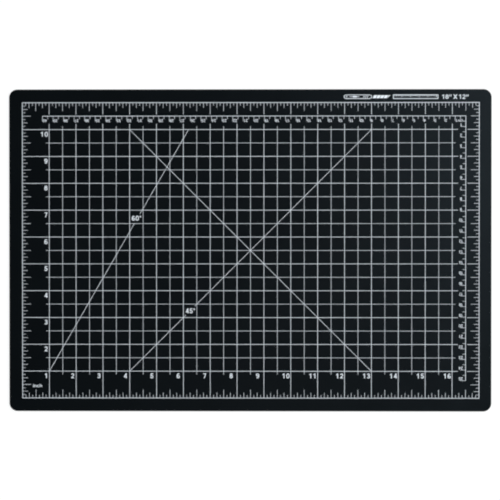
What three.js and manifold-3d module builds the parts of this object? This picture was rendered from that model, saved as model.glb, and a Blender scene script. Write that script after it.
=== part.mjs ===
// A self-healing cutting mat: five laminated PVC plies with a white measuring print on the top face.
// Millimetres, +Z up, long side along X. The origin is the centre of the underside.
import * as THREE from "three";
import { mergeVertices } from "three/addons/utils/BufferGeometryUtils.js";
import Module from "manifold-3d";

const wasm = await Module();
wasm.setup();

// ---- Sheet ----------------------------------------------------------------------------------
const MAT_LENGTH = 456;
const MAT_WIDTH = 304.5;
const CORNER_RADIUS = 7.8;
const CORNER_STEPS = 8;

// Thicknesses in whole eighths of a millimetre, so that neighbouring faces meet exactly.
const SOFT_PLY = 0.875;
const STIFF_PLY = 0.375;
const CORE_PLY = 0.5;
const MAT_THICKNESS = 2 * SOFT_PLY + 2 * STIFF_PLY + CORE_PLY;

// ---- Print ----------------------------------------------------------------------------------
const INCH = 25.4;
const EIGHTHS_PER_INCH = 8;
const CENTIMETRE = 10;
const INK_THICKNESS = 0.03;
const MERGE_TOLERANCE = 0.001;

// The ruler frame measures 17 by 11 inches and sits a little to the right of the sheet's centre.
const FRAME_COLUMNS = 17;
const FRAME_ROWS = 11;
const FRAME_SHIFT = 0.45;

// Line weights.
const FRAME_LINE = 0.5;
const INCH_LINE = 0.45;
const METRIC_LINE = 0.45;
const INCH_TICK_LINE = 0.37;
const TICK_LINE = 0.3;
const ANGLE_LINE = 0.3;

// Tick lengths, measured from the centre of the line that they stand on.
const INCH_TICK = 11.2;
const HALF_INCH_TICK = 7.9;
const QUARTER_INCH_TICK = 5;
const EIGHTH_INCH_TICK = 2.9;
const CENTIMETRE_TICK = 4.95;
const HALF_CENTIMETRE_TICK = 2.9;

// The grid's last column and row, and how far its lines run on past them.
const GRID_COLUMNS = 16;
const GRID_ROWS = 10;
const GRID_OVERRUN = 5.4;

// Cutting angles, in inches from the frame's lower left corner. A gap leaves room for a line's label.
const CROSS_LEFT = 4;
const CROSS_RIGHT = 13;
const CROSS_LABEL_GAP = [6.1, 6.43];
const STEEP_ANGLE = THREE.MathUtils.degToRad(60);
const STEEP_LABEL_GAP = [6.5, 6.86];

// The centimetre scale is an L whose corner is half an inch in from the frame's upper right corner.
const METRIC_INSET = 0.5;
const METRIC_COLUMNS = 40;
const METRIC_ROWS = 25;

// ---- Materials ------------------------------------------------------------------------------
const softVinyl = new THREE.MeshStandardMaterial({ color: 0x181d1f, roughness: 0.85, metalness: 0 });
const stiffVinyl = new THREE.MeshStandardMaterial({ color: 0x2c3133, roughness: 0.7, metalness: 0 });
const coreVinyl = new THREE.MeshStandardMaterial({ color: 0x3d4244, roughness: 0.75, metalness: 0 });
const whiteInk = new THREE.MeshStandardMaterial({ color: 0xe3e9ec, roughness: 0.6, metalness: 0 });

// ---- Solids ---------------------------------------------------------------------------------
function solidOf(geometry) {
  geometry.deleteAttribute("normal");
  geometry.deleteAttribute("uv");
  const merged = mergeVertices(geometry);
  const mesh = new wasm.Mesh({
    numProp: 3,
    vertProperties: merged.attributes.position.array,
    triVerts: new Uint32Array(merged.index.array),
  });
  return new wasm.Manifold(mesh);
}

function geometryOf(solid) {
  const mesh = solid.getMesh();
  const geometry = new THREE.BufferGeometry();
  geometry.setAttribute("position", new THREE.BufferAttribute(mesh.vertProperties, 3));
  geometry.setIndex(new THREE.BufferAttribute(mesh.triVerts, 1));
  geometry.computeVertexNormals();
  return geometry;
}

// The union of the solids, without the points that it leaves along straight edges and on flat faces.
function joined(solids) {
  const whole = solids.reduce((sum, piece) => sum.add(piece));
  return whole.asOriginal().simplify(MERGE_TOLERANCE);
}

// A straight printed line from one point to another, square at both ends.
function line(x0, y0, x1, y1, weight) {
  const length = Math.hypot(x1 - x0, y1 - y0);
  const box = new THREE.BoxGeometry(length, weight, INK_THICKNESS);
  box.rotateZ(Math.atan2(y1 - y0, x1 - x0));
  box.translate((x0 + x1) / 2, (y0 + y1) / 2, INK_THICKNESS / 2);
  return solidOf(box);
}

// ---- Plies ----------------------------------------------------------------------------------
function sheetOutline() {
  const x = MAT_LENGTH / 2 - CORNER_RADIUS;
  const y = MAT_WIDTH / 2 - CORNER_RADIUS;
  const outline = new THREE.Shape();
  outline.absarc(x, y, CORNER_RADIUS, 0, Math.PI / 2);
  outline.absarc(-x, y, CORNER_RADIUS, Math.PI / 2, Math.PI);
  outline.absarc(-x, -y, CORNER_RADIUS, Math.PI, 1.5 * Math.PI);
  outline.absarc(x, -y, CORNER_RADIUS, 1.5 * Math.PI, 2 * Math.PI);
  return outline;
}

function ply(name, thickness, height, material) {
  const geometry = new THREE.ExtrudeGeometry(sheetOutline(), {
    depth: thickness,
    bevelEnabled: false,
    curveSegments: CORNER_STEPS,
  });
  const mesh = new THREE.Mesh(geometry, material);
  mesh.name = name;
  mesh.position.z = height;
  return mesh;
}

// The plies from the underside up, each resting on the one before.
function laminate() {
  const stack = [
    ["bottom_self_healing_ply", SOFT_PLY, softVinyl],
    ["lower_stiffening_ply", STIFF_PLY, stiffVinyl],
    ["core_ply", CORE_PLY, coreVinyl],
    ["upper_stiffening_ply", STIFF_PLY, stiffVinyl],
    ["top_self_healing_ply", SOFT_PLY, softVinyl],
  ];
  const group = new THREE.Group();
  let height = 0;
  for (const [name, thickness, material] of stack) {
    group.add(ply(name, thickness, height, material));
    height += thickness;
  }
  return group;
}

// ---- Ruler frame ----------------------------------------------------------------------------
// The length and the weight of the tick that stands a number of eighths of an inch along a side.
function inchTick(eighth) {
  if (eighth % EIGHTHS_PER_INCH === 0) return [INCH_TICK, INCH_TICK_LINE];
  if (eighth % (EIGHTHS_PER_INCH / 2) === 0) return [HALF_INCH_TICK, TICK_LINE];
  if (eighth % (EIGHTHS_PER_INCH / 4) === 0) return [QUARTER_INCH_TICK, TICK_LINE];
  return [EIGHTH_INCH_TICK, TICK_LINE];
}

// The frame's four sides, with ticks pointing inwards. Along the left and the bottom side the grid's
// own lines stand in for the inch ticks.
function rulerFrame() {
  const right = FRAME_COLUMNS * INCH;
  const top = FRAME_ROWS * INCH;
  const past = FRAME_LINE / 2;
  const parts = [
    line(-past, 0, right + past, 0, FRAME_LINE),
    line(-past, top, right + past, top, FRAME_LINE),
    line(0, -past, 0, top + past, FRAME_LINE),
    line(right, -past, right, top + past, FRAME_LINE),
  ];
  for (let eighth = 1; eighth < FRAME_COLUMNS * EIGHTHS_PER_INCH; eighth++) {
    const x = (eighth * INCH) / EIGHTHS_PER_INCH;
    const [length, weight] = inchTick(eighth);
    parts.push(line(x, top, x, top - length, weight));
    if (eighth % EIGHTHS_PER_INCH !== 0) parts.push(line(x, 0, x, length, weight));
  }
  for (let eighth = 1; eighth < FRAME_ROWS * EIGHTHS_PER_INCH; eighth++) {
    const y = (eighth * INCH) / EIGHTHS_PER_INCH;
    const [length, weight] = inchTick(eighth);
    parts.push(line(right, y, right - length, y, weight));
    if (eighth % EIGHTHS_PER_INCH !== 0) parts.push(line(0, y, length, y, weight));
  }
  return joined(parts);
}

// ---- Inch grid with its cutting angles ------------------------------------------------------
// An angled line that starts at (x, y) inches, drawn for each stretch of its run along X.
function angledLine(x, y, slope, stretches) {
  return stretches.map(([from, to]) => {
    const fromY = y + (from - x) * slope;
    const toY = y + (to - x) * slope;
    return line(from * INCH, fromY * INCH, to * INCH, toY * INCH, ANGLE_LINE);
  });
}

function inchGrid() {
  const start = FRAME_LINE / 2;
  const parts = [];
  for (let column = 1; column <= GRID_COLUMNS; column++) {
    parts.push(line(column * INCH, start, column * INCH, GRID_ROWS * INCH + GRID_OVERRUN, INCH_LINE));
  }
  for (let row = 1; row <= GRID_ROWS; row++) {
    parts.push(line(start, row * INCH, GRID_COLUMNS * INCH + GRID_OVERRUN, row * INCH, INCH_LINE));
  }
  const steepSlope = Math.tan(STEEP_ANGLE);
  const steepEnd = 1 + (GRID_ROWS - 1) / steepSlope;
  const [gapStart, gapEnd] = STEEP_LABEL_GAP.map((y) => 1 + (y - 1) / steepSlope);
  parts.push(
    ...angledLine(CROSS_LEFT, 1, 1, [
      [CROSS_LEFT, CROSS_LABEL_GAP[0]],
      [CROSS_LABEL_GAP[1], CROSS_RIGHT],
    ]),
    ...angledLine(CROSS_LEFT, GRID_ROWS, -1, [[CROSS_LEFT, CROSS_RIGHT]]),
    ...angledLine(1, 1, steepSlope, [
      [1, gapStart],
      [gapEnd, steepEnd],
    ]),
  );
  return joined(parts);
}

// ---- Centimetre scale -----------------------------------------------------------------------
// It is read from the far side of the mat, so it counts leftwards and downwards from its corner.
function metricScale() {
  const x = (FRAME_COLUMNS - METRIC_INSET) * INCH;
  const y = (FRAME_ROWS - METRIC_INSET) * INCH;
  const past = METRIC_LINE / 2;
  const parts = [
    line(x + past, y, x - METRIC_COLUMNS * CENTIMETRE - TICK_LINE / 2, y, METRIC_LINE),
    line(x, y + past, x, y - METRIC_ROWS * CENTIMETRE - TICK_LINE / 2, METRIC_LINE),
  ];
  const tickLength = (half) => (half % 2 === 0 ? CENTIMETRE_TICK : HALF_CENTIMETRE_TICK);
  for (let half = 1; half <= METRIC_COLUMNS * 2; half++) {
    const at = x - (half * CENTIMETRE) / 2;
    parts.push(line(at, y, at, y - tickLength(half), TICK_LINE));
  }
  for (let half = 1; half <= METRIC_ROWS * 2; half++) {
    const at = y - (half * CENTIMETRE) / 2;
    parts.push(line(x, at, x - tickLength(half), at, TICK_LINE));
  }
  return joined(parts);
}

// ---- The printed layer, drawn from the frame's lower left corner ----------------------------
function measuringPrint() {
  const group = new THREE.Group();
  const drawings = {
    ruler_frame_print: rulerFrame(),
    inch_grid_print: inchGrid(),
    metric_scale_print: metricScale(),
  };
  for (const [name, solid] of Object.entries(drawings)) {
    const mesh = new THREE.Mesh(geometryOf(solid), whiteInk);
    mesh.name = name;
    group.add(mesh);
  }
  group.position.set(FRAME_SHIFT - (FRAME_COLUMNS * INCH) / 2, (-FRAME_ROWS * INCH) / 2, MAT_THICKNESS);
  return group;
}

const mat = new THREE.Group();
mat.add(laminate(), measuringPrint());

export default mat;
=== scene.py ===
"""A self-healing cutting mat, seen from straight above on a white table.

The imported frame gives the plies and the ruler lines. This script gives them their finish, rebuilds the
plies with die-cut edges, and adds the rest of the white print: the full grid, the numerals and the labels.
"""

import math

import bpy
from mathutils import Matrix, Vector
from mathutils.geometry import delaunay_2d_cdt


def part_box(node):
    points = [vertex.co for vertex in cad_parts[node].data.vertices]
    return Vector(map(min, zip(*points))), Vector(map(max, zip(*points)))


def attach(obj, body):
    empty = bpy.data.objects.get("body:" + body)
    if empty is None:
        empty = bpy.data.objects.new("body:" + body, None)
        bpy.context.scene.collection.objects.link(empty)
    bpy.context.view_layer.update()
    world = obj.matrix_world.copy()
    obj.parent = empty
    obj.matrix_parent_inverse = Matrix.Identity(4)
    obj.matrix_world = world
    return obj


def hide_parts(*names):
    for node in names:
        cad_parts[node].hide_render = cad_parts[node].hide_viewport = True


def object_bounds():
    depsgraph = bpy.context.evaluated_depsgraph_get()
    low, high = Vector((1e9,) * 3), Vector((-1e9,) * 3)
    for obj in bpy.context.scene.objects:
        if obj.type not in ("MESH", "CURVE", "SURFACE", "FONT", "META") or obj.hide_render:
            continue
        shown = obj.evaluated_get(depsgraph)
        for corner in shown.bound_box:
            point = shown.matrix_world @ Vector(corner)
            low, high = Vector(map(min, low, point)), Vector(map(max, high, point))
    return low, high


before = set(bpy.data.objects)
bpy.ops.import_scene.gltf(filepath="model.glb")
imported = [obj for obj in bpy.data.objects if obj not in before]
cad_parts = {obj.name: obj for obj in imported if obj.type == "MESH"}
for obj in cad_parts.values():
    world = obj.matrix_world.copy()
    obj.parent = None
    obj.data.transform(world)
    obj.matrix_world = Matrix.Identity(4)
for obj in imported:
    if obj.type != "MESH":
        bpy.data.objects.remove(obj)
cad_low, cad_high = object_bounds()

MM = 0.001
BODY = "root"

# ---- The printed frame, from the CAD ruler ---------------------------------------------------
FRAME_COLUMNS = 17
FRAME_ROWS = 11
GRID_COLUMNS = 16
GRID_ROWS = 10

FRAME_LINE = 0.5 * MM
INCH_LINE = 0.41 * MM
HALF_INCH_LINE = 0.31 * MM
ANGLE_LINE = 0.36 * MM
METRIC_LINE = 0.45 * MM

ruler_low, ruler_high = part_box("ruler_frame_print")
metric_low, metric_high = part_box("metric_scale_print")
LEFT = ruler_low.x + FRAME_LINE / 2
BOTTOM = ruler_low.y + FRAME_LINE / 2
INCH = (ruler_high.x - ruler_low.x - FRAME_LINE) / FRAME_COLUMNS
CENTIMETRE = 10 * MM
INK_BOTTOM = ruler_low.z
INK_TOP = ruler_high.z
METRIC_CORNER = Vector((metric_high.x - METRIC_LINE / 2, metric_high.y - METRIC_LINE / 2))

INCH_OVERRUN = 5.4 * MM
HALF_INCH_OVERRUN = 3.1 * MM

# Cutting angles, in inches from the frame's lower left corner.
CROSS_LEFT = 4
CROSS_RIGHT = 13
CROSS_LABEL_GAP = (6.1, 6.43)
STEEP_SLOPE = math.tan(math.radians(60))
STEEP_LABEL_GAP = (6.5, 6.86)

MERGE_DISTANCE = 1e-7


# ---- Plane outlines --------------------------------------------------------------------------
def ribbon(path, weight, closed=False):
    """A stroke of even weight along a path, mitred at its bends, as four-sided pieces."""
    points = [Vector(p) for p in path]
    count = len(points)
    sides = []
    for i, point in enumerate(points):
        normals = []
        if i > 0 or closed:
            along = (point - points[i - 1]).normalized()
            normals.append(Vector((-along.y, along.x)))
        if i < count - 1 or closed:
            along = (points[(i + 1) % count] - point).normalized()
            normals.append(Vector((-along.y, along.x)))
        mitre = sum(normals, Vector((0, 0))).normalized()
        reach = mitre * (weight / 2 / mitre.dot(normals[0]))
        sides.append((point + reach, point - reach))
    pieces = []
    for i in range(count if closed else count - 1):
        (near_left, near_right), (far_left, far_right) = sides[i], sides[(i + 1) % count]
        pieces.append([near_left, near_right, far_right, far_left])
    return pieces


def union(polygons):
    """The polygons joined into one flat region: its points and its triangles."""
    points = []
    loops = []
    for polygon in polygons:
        loops.append(list(range(len(points), len(points) + len(polygon))))
        points.extend(Vector(p) for p in polygon)
    points, _, faces, _, _, origins = delaunay_2d_cdt(points, [], loops, 1, MERGE_DISTANCE)
    inside = [face for face, origin in zip(faces, origins) if origin]
    used = sorted({i for face in inside for i in face})
    number = {old: new for new, old in enumerate(used)}
    return [points[i] for i in used], [[number[i] for i in face] for face in inside]


def raised(points, triangles, low, high):
    """The closed solid over a flat region, from one height to another: its vertices and faces."""
    count = len(points)
    vertices = [(p.x, p.y, low) for p in points] + [(p.x, p.y, high) for p in points]
    faces = [tuple(reversed(t)) for t in triangles]
    faces += [tuple(i + count for i in t) for t in triangles]
    edges = {(t[i], t[(i + 1) % 3]) for t in triangles for i in range(3)}
    rim = sorted((a, b) for a, b in edges if (b, a) not in edges)
    faces += [(a, b, b + count, a + count) for a, b in rim]
    return vertices, faces


def new_piece(name, vertices, faces, material, slot_name, *replaced):
    mesh = bpy.data.meshes.new(name)
    mesh.from_pydata(vertices, [], faces)
    mesh.materials.append(material)
    piece = bpy.data.objects.new(name, mesh)
    bpy.context.scene.collection.objects.link(piece)
    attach(piece, BODY)
    if replaced:
        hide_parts(*replaced)
    return piece


def printed(name, polygons, ink, *replaced):
    """A printed figure: the polygons joined and raised to the thickness of the ink."""
    return new_piece(name, *raised(*union(polygons), INK_BOTTOM, INK_TOP), ink, "white_ink", *replaced)


# ---- Glyphs ----------------------------------------------------------------------------------
# Every glyph stands on the line y = 0 and is 1 high, with its left side at x = 0. It is a list of
# polygons, which may overlap.
ARC_STEP = 15
DIGIT_WIDTH = 0.66


def arc(x, y, reach_x, reach_y, start, end, squareness=2.0):
    """Points along an ellipse from one angle to another, in degrees.

    A squareness over 2 fills the ellipse's corners.
    """
    steps = max(2, round(abs(end - start) / ARC_STEP))
    points = []
    for i in range(steps + 1):
        angle = math.radians(start + (end - start) * i / steps)
        across, up = math.cos(angle), math.sin(angle)
        points.append(
            (
                x + reach_x * math.copysign(abs(across) ** (2 / squareness), across),
                y + reach_y * math.copysign(abs(up) ** (2 / squareness), up),
            )
        )
    return points


def ring(x, y, reach_x, reach_y, weight, squareness=2.0):
    return ribbon(arc(x, y, reach_x, reach_y, 0, 360, squareness)[:-1], weight, closed=True)


def bar(left, right, y, weight):
    """A level bar whose middle is at height y."""
    low, high = y - weight / 2, y + weight / 2
    return [[(left, low), (right, low), (right, high), (left, high)]]


def stem(foot, head, width, bottom=0.0, top=1.0):
    """An upright or leaning stem with level ends, given by where its left side meets them."""
    return [[(foot, bottom), (foot + width, bottom), (head + width, top), (head, top)]]


def turned(polygons, width):
    """The glyph turned half a circle in its own cell."""
    return [[(width - x, 1 - y) for x, y in polygon] for polygon in polygons]


def digit_six(weight):
    half = weight / 2
    bowl = ring(0.33, 0.305, 0.325 - half, 0.305 - half, weight, 2.2)
    back = [(0.005 + half, 0.3)] + arc(0.36, 0.46, 0.355 - half, 0.54 - half, 180, 48, 2.2)
    return bowl + ribbon(back, weight)


def small_arch(left, width, weight):
    """The arch of a small n, h or m, standing on the line."""
    reach = (width - weight) / 2
    middle = left + width / 2
    path = arc(middle, 0.42, reach, 0.29 - weight / 2, 180, 0, 2.3) + [(middle + reach, 0)]
    return ribbon(path, weight)


def digits(weight):
    """The ten digits, each as its width and its polygons. Their level strokes are a little thinner."""
    half = weight / 2
    thin = 0.9 * weight
    top = 1 - thin / 2
    shapes = {
        "0": ring(0.33, 0.5, 0.33 - half, 0.5 - half, weight, 2.4),
        "1": stem(0.45 - weight, 0.45 - weight, weight)
        + ribbon([(0.05, 0.72), (0.2, 0.78), (0.34, 0.93)], thin),
        "2": ribbon(arc(0.33, 0.69, 0.31 - half, 0.31 - half, 172, -32) + [(0.14, 0.11)], weight)
        + bar(0.02, 0.64, half, weight),
        "3": ribbon(arc(0.31, 0.72, 0.3 - half, 0.28 - half, 165, -90), weight)
        + ribbon(arc(0.31, 0.305, 0.33 - half, 0.305 - half, 90, -165), weight)
        + bar(0.2, 0.32, 0.525, thin),
        "4": stem(0.56 - weight, 0.56 - weight, weight)
        + bar(0.01, 0.66, 0.28, thin)
        + stem(0.01, 0.54 - weight, weight, 0.26),
        "5": bar(0.13, 0.61, top, thin)
        + stem(0.06, 0.12, thin, 0.45)
        + ribbon(arc(0.315, 0.325, 0.33 - half, 0.325 - half, 128, -165), weight),
        "6": digit_six(weight),
        "7": bar(0.02, 0.64, top, thin) + stem(0.15, 0.6 - weight, weight, 0.0, 0.9),
        "8": ring(0.33, 0.73, 0.295 - half, 0.27 - half, weight)
        + ring(0.33, 0.3, 0.33 - half, 0.3 - half, weight),
        "9": turned(digit_six(weight), DIGIT_WIDTH),
    }
    return {digit: (DIGIT_WIDTH, shape) for digit, shape in shapes.items()}


def letters(weight):
    """The letters and marks of the labels, each as its width and its polygons."""
    half = weight / 2
    small = 0.71
    cross = 1.6 * weight
    inch_marks = stem(0.04, 0.1, weight, 0.52) + stem(0.34, 0.4, weight, 0.52)
    return {
        "X": (0.88, stem(0.0, 0.88 - cross, cross) + stem(0.88 - cross, 0.0, cross)),
        "c": (0.56, ribbon(arc(0.31, 0.36, 0.31 - half, 0.36 - half, 48, 312, 2.2), weight)),
        "h": (0.6, stem(0.0, 0.0, weight) + small_arch(0.0, 0.6, weight)),
        "i": (weight, stem(0.0, 0.0, weight, 0.0, small) + stem(0.0, 0.0, weight, 0.83)),
        "m": (
            0.92,
            stem(0.0, 0.0, weight, 0.0, small)
            + small_arch(0.0, 0.54, weight)
            + small_arch(0.38, 0.54, weight),
        ),
        "n": (0.6, stem(0.0, 0.0, weight, 0.0, small) + small_arch(0.0, 0.6, weight)),
        "°": (0.36, ring(0.18, 0.83, 0.12, 0.12, 0.1)),
        '"': (0.6, inch_marks),
        " ": (0.1, []),
    }


# The small figures have finer strokes for their height than the inch numerals.
INCH_GLYPHS = digits(0.167) | letters(0.15)
FINE_GLYPHS = digits(0.15) | letters(0.135)


def lettering(text, glyphs, gap, tuck):
    """A text's glyphs side by side, 1 high, and its width. What follows a 1 is tucked in towards it."""
    polygons = []
    right = 0.0
    for i, character in enumerate(text):
        width, glyph = glyphs[character]
        if i > 0:
            right += gap - (tuck if text[i - 1] == "1" else 0.0)
        polygons += [[(right + x, y) for x, y in polygon] for polygon in glyph]
        right += width
    return polygons, right


ANCHORS = {"left": 0.0, "centre": 0.5, "right": 1.0}


def label(
    text,
    x,
    y,
    height,
    glyphs=INCH_GLYPHS,
    anchor="left",
    gap=0.13,
    tuck=0.0,
    width=None,
    upside_down=False,
):
    """A text's polygons on the mat. (x, y) is the lower end of its anchor, as the text is read.

    A width in metres stretches the text along its line. An upside-down text is read from the mat's far side.
    """
    polygons, natural_width = lettering(text, glyphs, gap, tuck)
    stretch = width / (natural_width * height) if width else 1.0
    start = -natural_width * ANCHORS[anchor]
    turn = -1 if upside_down else 1
    return [
        [(x + turn * (start + px) * height * stretch, y + turn * py * height) for px, py in polygon]
        for polygon in polygons
    ]


# ---- Print -----------------------------------------------------------------------------------
def at(column, row):
    """A point of the printed frame, in inches from its lower left corner."""
    return Vector((LEFT + column * INCH, BOTTOM + row * INCH))


def rule(start, end, weight):
    return ribbon([start, end], weight)


def grid_lines():
    """Inch lines, which start at the ruler frame, and half-inch lines, which start just outside the grid."""
    polygons = []
    diagonal = Vector((1, 1))
    last = at(GRID_COLUMNS, GRID_ROWS)
    inch_reach = (at(0, 0) + diagonal * (FRAME_LINE / 2), last + diagonal * INCH_OVERRUN)
    half_inch_reach = (at(1, 1) - diagonal * HALF_INCH_OVERRUN, last + diagonal * HALF_INCH_OVERRUN)
    for half in range(2, 2 * GRID_COLUMNS + 1):
        whole = half % 2 == 0
        start, end = inch_reach if whole else half_inch_reach
        weight = INCH_LINE if whole else HALF_INCH_LINE
        x = at(half / 2, 0).x
        polygons += rule((x, start.y), (x, end.y), weight)
        if half <= 2 * GRID_ROWS:
            y = at(0, half / 2).y
            polygons += rule((start.x, y), (end.x, y), weight)
    return polygons


def angle_lines():
    """The two crossing 45 degree lines and the 60 degree line, with gaps for their labels."""
    polygons = []
    for start, end in ((CROSS_LEFT, CROSS_LABEL_GAP[0]), (CROSS_LABEL_GAP[1], CROSS_RIGHT)):
        polygons += rule(at(start, start - CROSS_LEFT + 1), at(end, end - CROSS_LEFT + 1), ANGLE_LINE)
    polygons += rule(at(CROSS_LEFT, GRID_ROWS), at(CROSS_RIGHT, 1), ANGLE_LINE)
    for start, end in ((1, STEEP_LABEL_GAP[0]), (STEEP_LABEL_GAP[1], GRID_ROWS)):
        first, last = (at(1 + (y - 1) / STEEP_SLOPE, y) for y in (start, end))
        polygons += rule(first, last, ANGLE_LINE)
    return polygons


# Inch numerals stand to the left of their inch line and below the line above them. Along the bottom
# the one-digit numerals are set slightly closer together than the inch lines.
INCH_NUMERAL_HEIGHT = 4.6 * MM
INCH_NUMERAL_GAP = 0.18
INCH_NUMERAL_DROP = 2.1 * MM
ONE_DIGIT_FROM_LINE = 3.1 * MM
TWO_DIGITS_FROM_LINE = 4.66 * MM
ONE_DIGIT_FIRST_FROM_LINE = 3.0 * MM
ONE_DIGIT_DRIFT = 0.37 * MM

# Centimetre numerals, as they are read from the far side.
CENTIMETRE_NUMERAL_HEIGHT = 2.68 * MM
CENTIMETRE_NUMERAL_GAP = 0.08
CENTIMETRE_NUMERAL_TUCK = 0.12
CENTIMETRE_NUMERAL_RISE = 3.0 * MM
CENTIMETRE_NUMERAL_FROM_TICK = 0.42 * MM
CENTIMETRE_NUMERAL_FROM_LINE = 4.46 * MM


def inch_numeral(inch, corner, from_line):
    x = corner.x - from_line
    y = corner.y - INCH_NUMERAL_DROP - INCH_NUMERAL_HEIGHT
    return label(str(inch), x, y, INCH_NUMERAL_HEIGHT, anchor="centre", gap=INCH_NUMERAL_GAP)


def numerals_along_bottom():
    polygons = []
    for inch in range(1, GRID_COLUMNS + 1):
        one_digit = ONE_DIGIT_FIRST_FROM_LINE + ONE_DIGIT_DRIFT * (inch - 1)
        polygons += inch_numeral(inch, at(inch, 1), one_digit if inch < 10 else TWO_DIGITS_FROM_LINE)
    return polygons


def numerals_along_left():
    polygons = []
    for inch in range(2, GRID_ROWS + 1):
        from_line = ONE_DIGIT_FROM_LINE if inch < 10 else TWO_DIGITS_FROM_LINE
        polygons += inch_numeral(inch, at(1, inch), from_line)
    return polygons


def centimetre_numeral(centimetre, x, y, anchor):
    return label(
        str(centimetre),
        x,
        y,
        CENTIMETRE_NUMERAL_HEIGHT,
        FINE_GLYPHS,
        anchor,
        CENTIMETRE_NUMERAL_GAP,
        CENTIMETRE_NUMERAL_TUCK,
        upside_down=True,
    )


def centimetre_numerals_along_top():
    """Each stands beside its tick, at the tick's end."""
    polygons = []
    for centimetre in range(1, round((metric_high.x - metric_low.x) / CENTIMETRE) + 1):
        x = METRIC_CORNER.x - centimetre * CENTIMETRE + CENTIMETRE_NUMERAL_FROM_TICK
        y = METRIC_CORNER.y - CENTIMETRE_NUMERAL_RISE
        polygons += centimetre_numeral(centimetre, x, y, "right")
    return polygons


def centimetre_numerals_along_right():
    """Each stands beside its tick, a little way in from the scale's line."""
    polygons = []
    for centimetre in range(1, round((metric_high.y - metric_low.y) / CENTIMETRE) + 1):
        x = METRIC_CORNER.x - CENTIMETRE_NUMERAL_FROM_LINE
        y = METRIC_CORNER.y - centimetre * CENTIMETRE + CENTIMETRE_NUMERAL_FROM_TICK
        polygons += centimetre_numeral(centimetre, x, y + CENTIMETRE_NUMERAL_HEIGHT, "centre")
    return polygons


# The top margin's marks stand on one line above the frame and share one height. Their columns are in
# inches along the frame.
MARGIN_MARK_RISE = 3.4 * MM
MARGIN_MARK_HEIGHT = 4.1 * MM
KNIFE_COLUMN = 11.97
RULER_COLUMN = 13.8
SIZE_COLUMN = 15.61
SIZE_WIDTH = 1.0 * INCH
SIZE_GAP = 0.09


def margin_mark(column, shapes):
    """Shapes that are 1 high, placed in the top margin from a distance in inches along the frame."""
    corner = at(column, FRAME_ROWS)
    return [
        [
            (corner.x + x * MARGIN_MARK_HEIGHT, corner.y + MARGIN_MARK_RISE + y * MARGIN_MARK_HEIGHT)
            for x, y in shape
        ]
        for shape in shapes
    ]


def knife_pictogram():
    """A plain craft knife: its handle has a hole, a slider in a slot and three ribs. Its blade snaps off."""
    middle = 0.5
    handle = arc(0.5, middle, 0.42, 0.42, 90, 270) + [(5.9, 0.08), (6.4, 0.25), (6.4, 0.75), (5.9, 0.92)]
    hole = ring(0.62, middle, 0.13, 0.13, 0.09)
    slot = bar(1.3, 3.6, middle, 0.1)
    slider = bar(2.1, 3.0, middle, 0.34)
    shapes = ribbon(handle, 0.13, closed=True) + hole + slot + slider
    for rib in range(3):
        foot = 4.4 + 0.42 * rib
        shapes += stem(foot, foot + 0.3, 0.14, 0.26, 0.74)
    blade_low, blade_high = 0.16, 0.84
    for segment in range(4):
        foot = 6.62 + 0.84 * segment
        shapes += stem(foot, foot + 0.36, 0.72, blade_low, blade_high)
    tip = [(9.98, blade_low), (10.72, blade_high), (10.34, blade_high)]
    shapes.append(tip)
    return margin_mark(KNIFE_COLUMN, shapes)


def ruler_pictogram():
    """A plain ruler: an outline with long and short ticks along its upper side."""
    length = 10.4
    outline = 0.14
    inset = outline / 2
    corners = [(inset, inset), (length - inset, inset), (length - inset, 1 - inset), (inset, 1 - inset)]
    shapes = ribbon(corners, outline, closed=True)
    steps = 26
    tick_width = 0.12
    for tick in range(1, steps):
        left = length * tick / steps - tick_width / 2
        foot = 0.4 if tick % 5 == 0 else 0.6
        shapes += stem(left, left, tick_width, foot, 0.95)
    return margin_mark(RULER_COLUMN, shapes)


def size_caption():
    corner = at(SIZE_COLUMN, FRAME_ROWS) + Vector((0, MARGIN_MARK_RISE))
    return label(
        '18" X 12"', corner.x, corner.y, MARGIN_MARK_HEIGHT, FINE_GLYPHS, gap=SIZE_GAP, width=SIZE_WIDTH
    )


# The unit labels, set in from the frame's lower left corner and from the scale's upper right corner.
INCH_LABEL_INSET = Vector((9.9, 10.2)) * MM
INCH_LABEL_HEIGHT = 3.0 * MM
INCH_LABEL_WIDTH = 8.5 * MM
CENTIMETRE_LABEL_INSET = Vector((2.95, 3.3)) * MM
CENTIMETRE_LABEL_HEIGHT = 2.7 * MM
CENTIMETRE_LABEL_WIDTH = 4.1 * MM

# The angle labels, in inches from the frame's lower left corner.
STEEP_LABEL_CORNER = (4.08, 6.61)
CROSS_LABEL_CORNER = (6.085, 3.158)


def inch_label():
    corner = at(0, 0) + INCH_LABEL_INSET
    return label("inch", corner.x, corner.y, INCH_LABEL_HEIGHT, width=INCH_LABEL_WIDTH)


def centimetre_label():
    corner = METRIC_CORNER - CENTIMETRE_LABEL_INSET
    return label(
        "cm",
        corner.x,
        corner.y,
        CENTIMETRE_LABEL_HEIGHT,
        FINE_GLYPHS,
        width=CENTIMETRE_LABEL_WIDTH,
        upside_down=True,
    )


def angle_label(text, corner):
    return label(text, *at(*corner), INCH_NUMERAL_HEIGHT)


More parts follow.
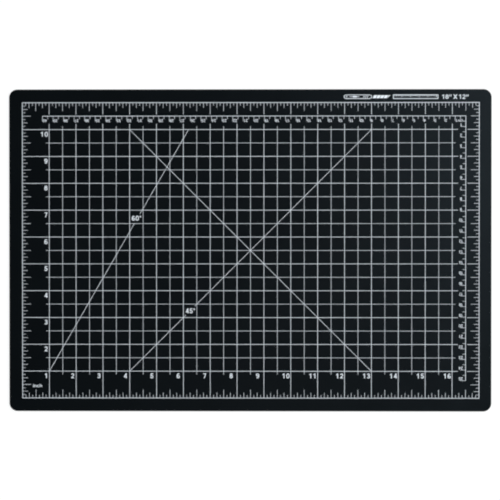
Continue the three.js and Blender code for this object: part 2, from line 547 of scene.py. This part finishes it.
def add_print(ink):
    printed("measuring_grid", grid_lines() + angle_lines(), ink, "inch_grid_print")
    printed("inch_numerals_bottom", numerals_along_bottom(), ink)
    printed("inch_numerals_left", numerals_along_left(), ink)
    printed("centimetre_numerals_top", centimetre_numerals_along_top(), ink)
    printed("centimetre_numerals_right", centimetre_numerals_along_right(), ink)
    printed("inch_label", inch_label(), ink)
    printed("centimetre_label", centimetre_label(), ink)
    printed("sixty_degree_label", angle_label("60°", STEEP_LABEL_CORNER), ink)
    printed("forty_five_degree_label", angle_label("45°", CROSS_LABEL_CORNER), ink)
    printed("size_caption", size_caption(), ink)
    printed("knife_pictogram", knife_pictogram(), ink)
    printed("ruler_pictogram", ruler_pictogram(), ink)
    for node in ("ruler_frame_print", "metric_scale_print"):
        for material_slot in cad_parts[node].material_slots:
            material_slot.material = ink


# ---- Plies -----------------------------------------------------------------------------------
CORNER_RADIUS = 7.8 * MM
CORNER_STEPS = 24
RIM_RADIUS = 0.28 * MM
RIM_STEPS = 5
SEAM = 0.04 * MM
CORE_INSET = 0.03 * MM
SHARP_EDGE = math.radians(40)


def rim_outline():
    """Points round the mat's edge, anticlockwise, each with its outward direction."""
    outline = []
    for quarter in range(4):
        side_x = 1 if quarter in (0, 3) else -1
        side_y = 1 if quarter in (0, 1) else -1
        x = side_x * (cad_high.x - CORNER_RADIUS)
        y = side_y * (cad_high.y - CORNER_RADIUS)
        for i in range(CORNER_STEPS + 1):
            angle = math.radians(90 * (quarter + i / CORNER_STEPS))
            out = Vector((math.cos(angle), math.sin(angle)))
            outline.append((Vector((x, y)) + out * CORNER_RADIUS, out))
    return outline


def sheet(name, node, profile, material, slot_name):
    """A ply with the mat's outline. The profile lists (inset, height) up its edge."""
    outline = rim_outline()
    count = len(outline)
    vertices = []
    for inset, height in profile:
        vertices += [(*(point - out * inset), height) for point, out in outline]
    faces = [tuple(reversed(range(count)))]
    for ring_start in range(0, count * (len(profile) - 1), count):
        for i in range(count):
            j = (i + 1) % count
            faces.append((ring_start + i, ring_start + j, ring_start + count + j, ring_start + count + i))
    top_start = count * (len(profile) - 1)
    faces.append(tuple(range(top_start, top_start + count)))
    piece = new_piece(name, vertices, faces, material, slot_name, node)
    for polygon in piece.data.polygons:
        polygon.use_smooth = True
    piece.data.set_sharp_from_angle(angle=SHARP_EDGE)
    weighted = piece.modifiers.new("weighted_normals", "WEIGHTED_NORMAL")
    weighted.keep_sharp = True
    return piece


def seam_profile(low, high, inset=0.0):
    """The edge of an inner ply, with a small groove at both of its seams."""
    return [(inset + SEAM, low), (inset, low + SEAM), (inset, high - SEAM), (inset + SEAM, high)]


def rounded_rim(seam_height, outer_height):
    """The edge of an outer ply, from its seam to its rounded outer rim."""
    up = math.copysign(1, outer_height - seam_height)
    profile = [(SEAM, seam_height), (0.0, seam_height + up * SEAM)]
    for i in range(RIM_STEPS + 1):
        angle = math.radians(90 * i / RIM_STEPS)
        inset = RIM_RADIUS * (1 - math.cos(angle))
        profile.append((inset, outer_height - up * RIM_RADIUS * (1 - math.sin(angle))))
    return profile if up > 0 else profile[::-1]


def add_plies(soft, stiff, core):
    low, high = (corner.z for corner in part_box("bottom_self_healing_ply"))
    sheet("bottom_cutting_surface", "bottom_self_healing_ply", rounded_rim(high, low), soft, "soft_vinyl")
    low, high = (corner.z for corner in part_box("lower_stiffening_ply"))
    sheet("lower_stiffener", "lower_stiffening_ply", seam_profile(low, high), stiff, "stiff_vinyl")
    low, high = (corner.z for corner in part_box("core_ply"))
    sheet("core_sheet", "core_ply", seam_profile(low, high, CORE_INSET), core, "core_vinyl")
    low, high = (corner.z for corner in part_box("upper_stiffening_ply"))
    sheet("upper_stiffener", "upper_stiffening_ply", seam_profile(low, high), stiff, "stiff_vinyl")
    low, high = (corner.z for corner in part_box("top_self_healing_ply"))
    sheet("top_cutting_surface", "top_self_healing_ply", rounded_rim(low, high), soft, "soft_vinyl")


# ---- Materials -------------------------------------------------------------------------------
class Shader:
    """A Principled material with short calls for the nodes that feed it."""

    def __init__(self, name, **values):
        self.material = bpy.data.materials.new(name)
        self.material.use_nodes = True
        self.tree = self.material.node_tree
        self.surface = self.tree.nodes["Principled BSDF"]
        for socket, value in values.items():
            self.surface.inputs[socket.replace("_", " ")].default_value = value
        self.place = self.tree.nodes.new("ShaderNodeTexCoord").outputs["Object"]

    def node(self, kind, **links):
        """A node whose inputs are given by name, as a value or as another node's output."""
        made = self.tree.nodes.new(kind)
        for name, value in links.items():
            self.feed(made.inputs[name.replace("_", " ")], value)
        return made

    def feed(self, socket, value):
        if isinstance(value, bpy.types.NodeSocket):
            self.tree.links.new(value, socket)
        else:
            socket.default_value = value

    def noise(self, scale, detail=2.0, stretch=(1, 1, 1)):
        """Noise in the object's own space. scale is in cycles per metre."""
        mapping = self.node("ShaderNodeMapping", Vector=self.place, Scale=stretch)
        made = self.node("ShaderNodeTexNoise", Vector=mapping.outputs[0], Scale=scale, Detail=detail)
        return made.outputs["Fac"]

    def spread(self, value, low, high, from_low=0.3, from_high=0.7):
        """The value, clamped and mapped from one range to another."""
        made = self.node(
            "ShaderNodeMapRange", Value=value, From_Min=from_low, From_Max=from_high, To_Min=low, To_Max=high
        )
        return made.outputs["Result"]

    def mix(self, factor, first, second):
        """A blend of two colours. The node's colour sockets are its inputs 6 and 7 and its output 2."""
        made = self.tree.nodes.new("ShaderNodeMix")
        made.data_type = "RGBA"
        for index, value in ((0, factor), (6, first), (7, second)):
            self.feed(made.inputs[index], value)
        return made.outputs[2]

    def maths(self, operation, first, second=0.0):
        """A sum, product or other operation on one or two values."""
        made = self.tree.nodes.new("ShaderNodeMath")
        made.operation = operation
        self.feed(made.inputs[0], first)
        self.feed(made.inputs[1], second)
        return made.outputs[0]

    def bump(self, height, distance, strength=1.0, normal=None):
        made = self.node("ShaderNodeBump", Height=height, Distance=distance, Strength=strength)
        if normal is not None:
            self.feed(made.inputs["Normal"], normal)
        return made.outputs["Normal"]

    def pebble(self):
        """Fine round grain, as plasticised PVC takes from its press plates."""
        cells = self.node("ShaderNodeTexVoronoi", Vector=self.place, Scale=2400.0)
        return cells.outputs["Distance"]

    def steepness(self):
        """0 on the faces, 1 on the cut edge."""
        normal = self.tree.nodes.new("ShaderNodeNewGeometry").outputs["True Normal"]
        up = self.node("ShaderNodeSeparateXYZ", Vector=normal).outputs["Z"]
        return self.spread(self.maths("ABSOLUTE", up), 1.0, 0.0, 0.1, 0.9)


BLACK_VINYL = (0.0015, 0.0021, 0.0026, 1)
BLACK_VINYL_PATCH = (0.0022, 0.0030, 0.0036, 1)
BLACK_VINYL_GRAIN = (0.0037, 0.0050, 0.0057, 1)
BLACK_VINYL_CUT = (0.014, 0.017, 0.018, 1)
BLUISH_SHEEN = (0.72, 0.88, 1.0, 1)
DARK_GREY_VINYL = ((0.02, 0.025, 0.027, 1), (0.034, 0.04, 0.043, 1))
GREY_VINYL = ((0.035, 0.041, 0.044, 1), (0.055, 0.063, 0.067, 1))
INK_THIN = (0.66, 0.665, 0.69, 1)
INK_FULL = (0.8, 0.8, 0.83, 1)
INK_PINHOLE = (0.08, 0.09, 0.1, 1)


def soft_vinyl():
    """Matte black self-healing PVC: fine pebble grain on its faces, knife drag on its cut edge."""
    shader = Shader("soft_vinyl", Specular_IOR_Level=0.22, Specular_Tint=BLUISH_SHEEN)
    patches = shader.noise(14.0, 3.0)
    grain = shader.noise(1100.0, 3.0)
    tone = shader.mix(shader.spread(patches, 0.0, 1.0), BLACK_VINYL, BLACK_VINYL_PATCH)
    tone = shader.mix(shader.spread(grain, 0.0, 0.35), tone, BLACK_VINYL_GRAIN)
    edge = shader.steepness()
    tone = shader.mix(shader.maths("MULTIPLY", edge, 0.6), tone, BLACK_VINYL_CUT)
    shader.feed(shader.surface.inputs["Base Color"], tone)
    roughness = shader.spread(shader.noise(45.0, 4.0), 0.34, 0.39)
    shader.feed(shader.surface.inputs["Roughness"], roughness)
    normal = shader.bump(shader.noise(35.0, 2.0), 0.00006)
    normal = shader.bump(shader.pebble(), 0.000018, 0.5, normal)
    drag = shader.noise(900.0, 2.0, (1, 1, 0.12))
    normal = shader.bump(shader.maths("MULTIPLY", drag, edge), 0.00008, 0.6, normal)
    shader.feed(shader.surface.inputs["Normal"], normal)
    return shader.material


def sheared_vinyl(name, tones):
    """Rigid PVC, seen only where it is cut: a plain tone with fine upright knife drag."""
    shader = Shader(name, Roughness=0.55, Specular_IOR_Level=0.35)
    drag = shader.noise(1300.0, 3.0, (1, 1, 0.1))
    shader.feed(shader.surface.inputs["Base Color"], shader.mix(shader.spread(drag, 0.0, 1.0), *tones))
    shader.feed(shader.surface.inputs["Normal"], shader.bump(drag, 0.00004, 0.5))
    return shader.material


def white_ink():
    """Screen-printed ink: a thin even film that shows the grain under it and a few pinholes."""
    shader = Shader("white_ink", Specular_IOR_Level=0.4)
    film = shader.spread(shader.noise(1500.0, 2.0), 0.0, 1.0)
    tone = shader.mix(film, INK_THIN, INK_FULL)
    pinholes = shader.spread(shader.noise(3200.0, 1.0), 1.0, 0.0, 0.25, 0.3)
    tone = shader.mix(pinholes, tone, INK_PINHOLE)
    shader.feed(shader.surface.inputs["Base Color"], tone)
    shader.feed(shader.surface.inputs["Roughness"], shader.spread(film, 0.6, 0.48, 0.0, 1.0))
    shader.feed(shader.surface.inputs["Normal"], shader.bump(shader.pebble(), 0.00001, 0.4))
    return shader.material


# ---- Table, light and camera -----------------------------------------------------------------
WHITE = (1, 1, 1, 1)
TABLE_HALF_SIDE = 4.0
TABLE_GAP = 0.05 * MM
TABLE_GLOW = 0.9


def add_floor():
    """A white table lit from inside, as product tables are. It can't be seen from below."""
    half = TABLE_HALF_SIDE
    height = cad_low.z - TABLE_GAP
    mesh = bpy.data.meshes.new("table")
    corners = [(-half, -half, height), (half, -half, height), (half, half, height), (-half, half, height)]
    mesh.from_pydata(corners, [], [(0, 1, 2, 3)])
    floor = bpy.data.objects.new("table", mesh)
    bpy.context.scene.collection.objects.link(floor)
    shader = Shader("table", Base_Color=(0.12, 0.12, 0.12, 1), Roughness=0.9, Specular_IOR_Level=0.0)
    shader.surface.inputs["Emission Color"].default_value = WHITE
    shader.surface.inputs["Emission Strength"].default_value = TABLE_GLOW
    behind = shader.tree.nodes.new("ShaderNodeNewGeometry").outputs["Backfacing"]
    see_through = shader.tree.nodes.new("ShaderNodeBsdfTransparent").outputs[0]
    blend = shader.tree.nodes.new("ShaderNodeMixShader")
    for index, value in ((0, behind), (1, shader.surface.outputs[0]), (2, see_through)):
        shader.feed(blend.inputs[index], value)
    output = shader.tree.nodes["Material Output"]
    shader.feed(output.inputs["Surface"], blend.outputs[0])
    mesh.materials.append(shader.material)


LAMP_COLOUR = (0.88, 0.96, 1.0)
SHEEN_COLOUR = (0.97, 0.96, 0.95)


def add_softbox(name, position, size, watts, colour=LAMP_COLOUR, mirrored=True):
    """A square lamp that faces the mat's centre. One that isn't mirrored lights only matt surfaces."""
    data = bpy.data.lights.new(name, "AREA")
    data.shape = "SQUARE"
    data.size = size
    data.energy = watts
    data.color = colour
    lamp = bpy.data.objects.new(name, data)
    lamp.location = position
    lamp.visible_camera = False
    lamp.visible_glossy = mirrored
    lamp.rotation_euler = (-Vector(position)).to_track_quat("-Z", "Y").to_euler()
    bpy.context.scene.collection.objects.link(lamp)


DIM_WORLD = 0.03


def add_world():
    """White where the camera looks past the table, and dim for everything that it lights or mirrors in."""
    world = bpy.data.worlds.new("studio")
    world.use_nodes = True
    tree = world.node_tree
    seen = tree.nodes["Background"]
    dim = tree.nodes.new("ShaderNodeBackground")
    for background, strength in ((seen, 1.0), (dim, DIM_WORLD)):
        background.inputs["Color"].default_value = WHITE
        background.inputs["Strength"].default_value = strength
    camera_ray = tree.nodes.new("ShaderNodeLightPath").outputs["Is Camera Ray"]
    blend = tree.nodes.new("ShaderNodeMixShader")
    tree.links.new(camera_ray, blend.inputs[0])
    tree.links.new(dim.outputs[0], blend.inputs[1])
    tree.links.new(seen.outputs[0], blend.inputs[2])
    tree.links.new(blend.outputs[0], tree.nodes["World Output"].inputs["Surface"])
    bpy.context.scene.world = world


SIDE_LAMPS = {
    "left_softbox": (-1.5, 0.0, 0.55),
    "front_softbox": (0.2, -1.5, 0.55),
    "back_softbox": (0.2, 1.5, 0.55),
}


def add_light():
    """A key lamp from the right, three low lamps round the mat, one below it, and two faint ones whose
    mirror images lie on the vinyl as a sheen."""
    add_softbox("key_softbox", (1.2, 0.3, 1.1), size=0.9, watts=25.0)
    for name, position in SIDE_LAMPS.items():
        add_softbox(name, position, size=0.7, watts=17.0, mirrored=False)
    add_softbox("under_softbox", (1.0, -0.7, -0.9), size=0.9, watts=30.0)
    add_softbox("right_sheen", (0.46, 0.18, 1.1), size=0.45, watts=0.51, colour=SHEEN_COLOUR)
    add_softbox("front_sheen", (0.0, -0.4, 1.1), size=0.4, watts=0.2, colour=SHEEN_COLOUR)


# The camera looks at a point just behind the mat's centre, from almost straight above it. Its lens and
# sensor are in millimetres, as Blender has them.
LENS = 100.0
SENSOR_WIDTH = 36.0
FIELD_WIDTH = 472.73 * MM
TARGET_BEHIND_CENTRE = 0.42 * MM
CAMERA_TO_RIGHT = 11.86 * MM
CAMERA_TO_BACK = 10.54 * MM


# How far each pixel gathers light, in pixels. A little over the usual 1.5 keeps the fine print even.
PIXEL_SOFTNESS = 2.0


def add_camera():
    data = bpy.data.cameras.new("camera")
    data.lens = LENS
    data.sensor_width = SENSOR_WIDTH
    camera = bpy.data.objects.new("camera", data)
    distance = FIELD_WIDTH * LENS / SENSOR_WIDTH
    camera.location = (CAMERA_TO_RIGHT, TARGET_BEHIND_CENTRE + CAMERA_TO_BACK, cad_high.z + distance)
    tilt_back = math.atan2(CAMERA_TO_BACK, distance)
    tilt_right = math.atan2(CAMERA_TO_RIGHT, distance)
    camera.rotation_euler = (-tilt_back, tilt_right, 0.0)
    bpy.context.scene.collection.objects.link(camera)
    bpy.context.scene.camera = camera


add_plies(
    soft_vinyl(),
    sheared_vinyl("stiff_vinyl", DARK_GREY_VINYL),
    sheared_vinyl("core_vinyl", GREY_VINYL),
)
add_print(white_ink())
add_floor()
add_light()
add_world()
add_camera()
bpy.context.scene.view_settings.view_transform = "Standard"
bpy.context.scene.cycles.filter_width = PIXEL_SOFTNESS
